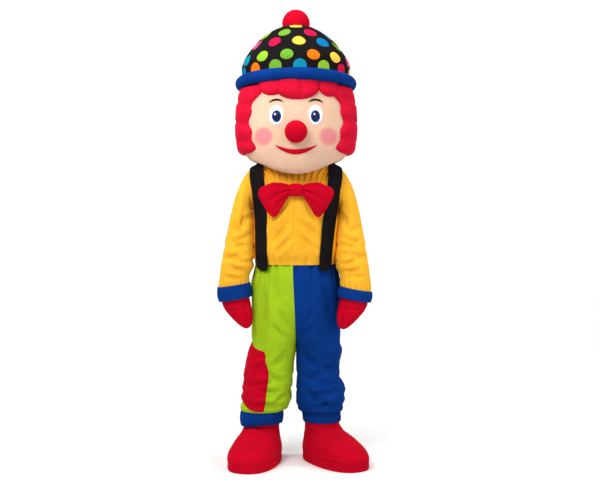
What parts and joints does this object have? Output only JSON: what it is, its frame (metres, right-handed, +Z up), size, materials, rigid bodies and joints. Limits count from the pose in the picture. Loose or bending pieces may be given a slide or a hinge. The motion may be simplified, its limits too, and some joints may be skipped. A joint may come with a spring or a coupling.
{
  "type": "clown mascot costume",
  "caption": "Padded clown head with hat, hair and round nose, shirt with braces and bow, two-coloured trousers, mittens and big soft boots, worn as one costume.",
  "frame": {"origin": "centre of the shirt's neck opening at shoulder height, where the wearer carries it", "axes": "+Z up along the wearer, -Y the way the face looks, +X towards the wearer's left"},
  "size_m": [0.6566, 0.5457, 1.9288],
  "materials": {
    "yellow_fleece": "soft fleece",
    "green_fleece": "soft fleece",
    "blue_fleece": "soft fleece",
    "red_plush": "short plush",
    "black_felt": "matt fleece",
    "skin_plush": "short plush over foam",
    "white_felt": "matt felt"
  },
  "bodies": {
    "root": {"boot_left": "red_plush", "boot_right": "red_plush", "boot_sole_left": "red_plush", "boot_sole_right": "red_plush", "bow_knot": "red_plush", "bow_wing_left": "red_plush", "bow_wing_right": "red_plush", "brace_left": "black_felt", "brace_right": "black_felt", "cuff_left": "blue_fleece", "cuff_right": "blue_fleece", "elastic_hem_left": "blue_fleece", "eye_left": "white_felt", "eye_right": "white_felt", "fringe_left": "red_plush", "fringe_middle": "red_plush", "fringe_right": "red_plush", "glove_left": "red_plush", "glove_right": "red_plush", "hair_back": "red_plush", "hair_side_left": "red_plush", "hair_side_right": "red_plush", "hat_brim": "blue_fleece", "hat_crown": "black_felt", "head_shell": "skin_plush", "leg_patch_right": "red_plush", "mouth": "red_plush", "nose": "red_plush", "pompom": "red_plush", "pupil_left": "black_felt", "pupil_right": "black_felt", "shirt_back": "yellow_fleece", "shirt_front_left": "yellow_fleece", "shirt_front_right": "yellow_fleece", "sleeve_left": "yellow_fleece", "sleeve_right": "yellow_fleece", "trouser_leg_left": "blue_fleece", "trouser_leg_right": "green_fleece", "turned_cuff_right": "blue_fleece"}
  },
  "joints": []
}
